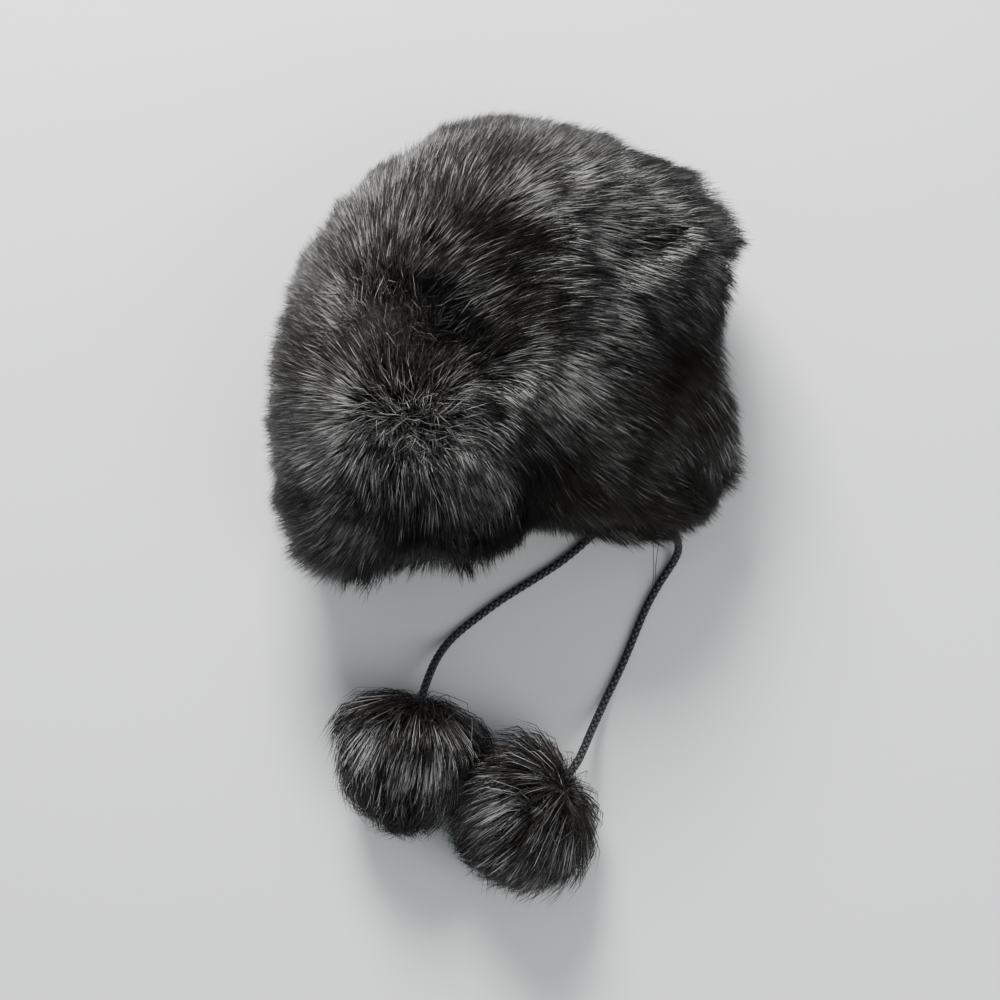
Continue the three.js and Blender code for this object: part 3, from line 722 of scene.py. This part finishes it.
# The way that the upper side's hair lies, as strokes of the comb: x and y in metres, and the heading in
# degrees from +X
comb_strokes = [
    (-0.09, 0.06, 130), (-0.06, 0.085, 112), (-0.03, 0.095, 84), (0.0, 0.1, 80), (0.02, 0.095, 65),
    (0.035, 0.085, 48), (0.055, 0.08, 38), (0.085, 0.078, 48), (0.11, 0.068, 30), (0.11, 0.055, -5),
    (0.115, 0.035, -35), (0.11, 0.01, -45), (-0.11, 0.03, 145), (-0.115, 0.005, 165), (-0.12, -0.015, 178),
    (-0.035, 0.055, 78), (-0.015, 0.065, 62), (-0.005, 0.05, 25), (-0.015, 0.03, 15), (-0.015, 0.005, 28),
    (-0.005, -0.015, 5), (0.015, 0.055, 3), (0.04, 0.065, 10), (0.06, 0.045, 5), (0.085, 0.06, 22),
    (0.075, 0.035, -30), (0.03, 0.04, -15), (0.05, 0.03, -25), (0.065, 0.01, -33), (0.01, 0.005, 0),
    (0.04, -0.005, -18), (0.085, 0.0, -36), (0.1, 0.02, -40), (-0.115, -0.035, 172), (-0.08, -0.02, 150),
    (-0.065, -0.02, 115), (-0.05, -0.02, 95), (-0.04, -0.025, 65), (-0.025, -0.02, 45), (-0.015, -0.015, 28),
    (-0.09, -0.05, 180), (-0.02, -0.04, -18), (-0.005, -0.035, -43), (-0.005, -0.06, -52),
    (-0.015, -0.08, -60), (-0.035, -0.07, -65), (-0.05, -0.065, -88), (-0.05, -0.09, -93),
    (-0.055, -0.095, -112), (-0.07, -0.09, -132), (-0.085, -0.085, -155), (-0.11, -0.085, -167),
    (-0.115, -0.105, -152), (-0.095, -0.12, -140), (-0.06, -0.115, -115), (-0.045, -0.11, -82),
    (-0.025, -0.115, -65), (0.01, -0.035, -45), (0.01, -0.065, -75), (0.015, -0.085, -83),
    (0.035, -0.07, -55), (0.04, -0.055, -32), (0.05, -0.04, -25), (0.075, -0.03, -33), (0.115, -0.03, -28),
    (0.12, -0.06, -25), (0.12, -0.075, -33), (0.11, -0.085, -40), (0.09, -0.1, -55), (0.075, -0.065, -30),
    (0.09, -0.055, -52), (0.065, -0.085, -42), (0.05, -0.09, -60), (0.03, -0.1, -75), (0.02, -0.1, -85),
]
stroke_softness = 0.006
whorls = [(-0.061, 0.004), (-0.047, -0.05)]  # where the hair parts to all sides
whorl_reach = 0.014
whorl_middle = 0.012
whorl_turn = math.radians(130)  # how far the hair strays there
parting = (-0.05, -0.014)
parting_reach = 0.022
parting_turn = math.radians(60)
side_lean = 0.35  # outwards, of the hair that falls down the sides
# Where the upper side's hair is made lighter, or darker, than elsewhere: x, y, radius and amount
# Darker ones: painted shade in the dents and valleys, where the hair lies lower
# Lighter ones: partly the pile's own silver, partly painted highlight on ridges and the rim lit from the
# crown side
silver_and_shade_patches = [
    (-0.11, -0.005, 0.012, 0.3), (-0.1, 0.015, 0.016, 0.55), (-0.09, 0.04, 0.013, 0.4),
    (-0.08, 0.06, 0.013, 0.45), (-0.06, 0.07, 0.013, 0.5), (-0.045, 0.08, 0.013, 0.5),
    (-0.025, 0.09, 0.013, 0.4), (-0.005, 0.095, 0.012, 0.35), (0.015, 0.095, 0.013, 0.35),
    (0.03, 0.09, 0.014, 0.45), (0.04, 0.075, 0.013, 0.45), (0.05, 0.06, 0.011, 0.4),
    (0.005, 0.055, 0.014, 0.25), (0.025, 0.06, 0.012, 0.3), (0.065, 0.06, 0.012, 0.3),
    (0.03, 0.04, 0.009, 0.25), (0.035, 0.02, 0.012, 0.3), (0.065, 0.02, 0.009, 0.3),
    (0.085, 0.04, 0.01, 0.25), (0.1, 0.06, 0.014, 0.35), (0.045, -0.005, 0.01, 0.3),
    (0.0, -0.025, 0.014, 0.15), (0.005, -0.035, 0.011, 0.25), (0.025, -0.03, 0.012, 0.35),
    (0.04, -0.052, 0.012, 0.3), (0.07, -0.055, 0.009, 0.2), (0.11, -0.04, 0.013, 0.4),
    (-0.01, -0.07, 0.012, 0.3), (-0.025, -0.07, 0.012, 0.35), (-0.095, -0.055, 0.015, 0.5),
    (-0.08, -0.07, 0.013, 0.2), (-0.07, -0.095, 0.009, 0.25), (-0.105, -0.03, 0.012, 0.2),
    (-0.095, -0.085, 0.013, 0.2), (-0.075, -0.002, 0.012, 0.4), (-0.075, -0.052, 0.012, 0.3),
    (0.028, 0.0, 0.01, 0.35), (0.092, 0.05, 0.012, 0.3),
    (0.0, 0.035, 0.014, -0.1), (0.06, 0.045, 0.009, -0.2), (0.015, 0.005, 0.009, -0.1),
    (0.075, -0.01, 0.014, -0.4), (0.09, -0.03, 0.01, -0.1), (0.105, -0.065, 0.009, -0.3),
    (-0.03, 0.04, 0.016, -0.1), (-0.06, 0.015, 0.009, -0.35), (-0.05, 0.0, 0.014, -0.45),
    (-0.035, -0.02, 0.014, -0.45), (-0.015, -0.02, 0.011, -0.25), (-0.015, 0.02, 0.014, -0.08),
    (-0.005, -0.09, 0.011, -0.55), (0.005, -0.095, 0.012, -0.5), (0.02, -0.065, 0.012, -0.25),
    (0.085, -0.085, 0.014, -0.25), (-0.05, -0.035, 0.01, -0.15), (-0.045, -0.09, 0.01, -0.15),
    (-0.085, -0.12, 0.014, -0.25), (-0.055, -0.115, 0.014, -0.3), (-0.025, -0.115, 0.014, -0.35),
    (-0.062, -0.018, 0.012, -0.22), (-0.048, -0.03, 0.009, -0.15), (-0.05, -0.038, 0.012, -0.15),
    (0.004, -0.065, 0.011, -0.5), (0.045, -0.083, 0.012, -0.2), (0.067, -0.085, 0.012, -0.2),
]
least_silver = 0.14
side_silver = 0.16
top_silver = 0.22  # more than on the sides
tufts = [(0.092, 0.08, 0.026, 1.0), (-0.09, -0.12, 0.025, 0.7)]  # x, y, radius and how much longer


def near_to(points, x, y, radius):
    """1 at a place on the plan and less and less away from it."""
    return np.exp(-((points[:, 0] - x) ** 2 + (points[:, 1] - y) ** 2) / radius ** 2)


def comb(points, normals, rng):
    """Each hair's way along the surface: by the strokes and whorls on top, and out and down on the sides."""
    rows = np.array(comb_strokes)
    headings = np.radians(rows[:, 2])
    flat = points[:, None, :2] - rows[None, :, :2]
    weight = 1 / ((flat ** 2).sum(axis=2) + stroke_softness ** 2) ** 2
    way = unit(np.stack([(weight * part(headings)).sum(axis=1) for part in (np.cos, np.sin)], axis=1))
    loose = near_to(points, *parting, parting_reach) * parting_turn
    for whorl in whorls:
        near = near_to(points, *whorl, whorl_reach)[:, None]
        way = unit(way * (1 - near) + unit(points[:, :2] - np.array(whorl)) * near)
        loose = np.maximum(loose, near_to(points, *whorl, whorl_middle) * whorl_turn)
    turn = rng.normal(0, 1, len(points)) * loose
    x, y = way.T
    top = np.column_stack([
        x * np.cos(turn) - y * np.sin(turn),
        x * np.sin(turn) + y * np.cos(turn),
        np.zeros(len(points)),
    ])
    outward = unit(points * (1, 1, 0))
    down = outward * side_lean + np.array((0, 0, -1.0))
    share = ease(normals[:, 2], 0.05, 0.55)[:, None]
    under = pressed_share(normals)[:, None]
    return lay_flat(top * share + down * (1 - share) * (1 - under) + outward * under, normals)


def pressed_share(normals):
    """1 underneath, where the hat's weight presses the pile flat, and 0 on the sides and the top."""
    return ease(-normals[:, 2], 0.3, 0.7)


def silver_and_shade_share(points, normals):
    """How much of its silver band each hair shows, painted highlight and painted shade included: by the
    patches on top, and less towards the underside.
    """
    share = side_silver + top_silver * ease(normals[:, 2], -0.1, 0.45)
    upper = ease(normals[:, 2], 0.0, 0.45)
    for *place, amount in silver_and_shade_patches:
        share += amount * near_to(points, *place) * upper
    return np.maximum(share, least_silver)


def tuft_share(points):
    """How much more than elsewhere the fur stands off, at the hat's two corners."""
    return sum(amount * near_to(points, *place) for *place, amount in tufts)


def hat_weight(normals):
    """Most hairs on the upper side, fewer down the sides and few underneath, where they are pressed flat."""
    sides = ease(normals[:, 2], -0.6, 0.1)
    top = ease(normals[:, 2], 0.1, 0.5)
    return hairs_underneath + hairs_on_sides * sides + hairs_on_top * top


def panel_finder():
    """Says which panel a point belongs to, by the nearest face of the CAD's panels."""
    points, faces, owners = [], [], []
    for name in panel_hairs:
        mesh = frame["nodes"][name].data
        start = len(points)
        points += [tuple(point) for point in vertex_array(mesh, "co")]
        faces += [tuple(start + corner for corner in face.vertices) for face in mesh.polygons]
        owners += [name] * len(mesh.polygons)
    tree = BVHTree.FromPolygons(points, faces)
    return lambda point: owners[tree.find_nearest(point)[2]]


def stray_hairs(material):
    """Two long hairs that hang out of the right ear flap's edge beside its tie."""
    paths = np.array(stray_hair_paths)
    upwards = np.array([(0.0, 0.0, 1.0)] * len(paths))
    widths = np.full(len(paths), stray_hair_width)
    hairs = hair_mesh("right_ear_flap_stray_hairs", paths, upwards, widths, np.zeros(len(paths)))
    hairs.data.materials.append(material)
    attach(hairs, "root")


def hat_fur():
    """The hat's cloth, and on each panel an under coat and a coat of guard hair."""
    rng = np.random.default_rng(21)
    skin = soft_copy("hat_cloth", list(panel_hairs), cloth_voxel, cloth_softening)
    outer = sink_to_roots(skin, hat_middle, pile_depth, pressed_depth)
    skin.data.materials.append(skin_cloth)
    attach(skin, "root")
    fur = fur_material("long_fur", fur_shades)
    flap_fur = fur_material("flap_fur", flap_shades)
    owner_at = panel_finder()
    form = guide_form(skin)
    for kind, coat in hat_coats.items():
        roots, normals = scatter_roots(skin, outer, coat["hairs"], hat_weight, rng)
        ways = comb(roots, normals, rng)
        lifts = math.radians(coat["rise"]) * (1 - flattened * pressed_share(normals))
        longer = 1 + tuft_share(roots)
        full = side_length + (1 - side_length) * ease(normals[:, 2], 0.0, 0.6)
        lengths = hat_hair_length * coat["share"] * full * longer ** 0.6
        # this silver share carries painted highlight and painted shade from the patches as well as the
        # pile's own silver
        silver = silver_and_shade_share(roots, normals)
        owners = np.array([owner_at(root) for root in roots])
        for name, most in panel_hairs.items():
            mine = np.flatnonzero(owners == name)[:most[kind]]
            hairs = grow(
                f"{name}_{kind}", coat, form, roots[mine], normals[mine], ways[mine],
                lengths[mine], lifts[mine], hat_bend, hat_reach * longer[mine], silver[mine], rng,
            )
            is_flap = name.endswith("flap")
            hairs.data.materials.append(flap_fur if is_flap else fur)
            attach(hairs, "root")
            if kind == "guard_hair":
                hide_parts(name)
    stray_hairs(flap_fur)


hat_fur()

# The surface and the light
# A plain pale tabletop under soft studio light: a bright panel beyond the crown, a wide weak one on the near
# side, and a pale room.
floor_size = 6
floor_colour = (0.8, 0.8, 0.79, 1)
room_colour = (0.9, 0.95, 1.0, 1)
room_strength = 0.4
bpy.ops.mesh.primitive_plane_add(size=floor_size)
floor = bpy.context.object
floor.name = "floor"
floor_finish = bpy.data.materials.new("pale_surface")
add, link = node_maker(floor_finish)
finish_surface(add, link, {"Base Color": floor_colour, "Roughness": 0.7}, {})
floor.data.materials.append(floor_finish)


def soft_light(name, place, size, watts):
    """A square light that faces the hat."""
    bpy.ops.object.light_add(type="AREA", location=place)
    light = bpy.context.object
    light.name = name
    light.data.size = size
    light.data.energy = watts
    light.rotation_euler = (-Vector(place)).to_track_quat("-Z", "Y").to_euler()


soft_light("crown_light", (-0.35, 1.3, 1.1), size=0.7, watts=48)
soft_light("fill_light", (0.9, -0.9, 1.3), size=1.2, watts=9)
bpy.context.scene.view_settings.look = "AgX - Medium High Contrast"
world = bpy.data.worlds.new("pale_room")
bpy.context.scene.world = world
world.use_nodes = True
room = world.node_tree.nodes["Background"]
room.inputs["Color"].default_value = room_colour
room.inputs["Strength"].default_value = room_strength
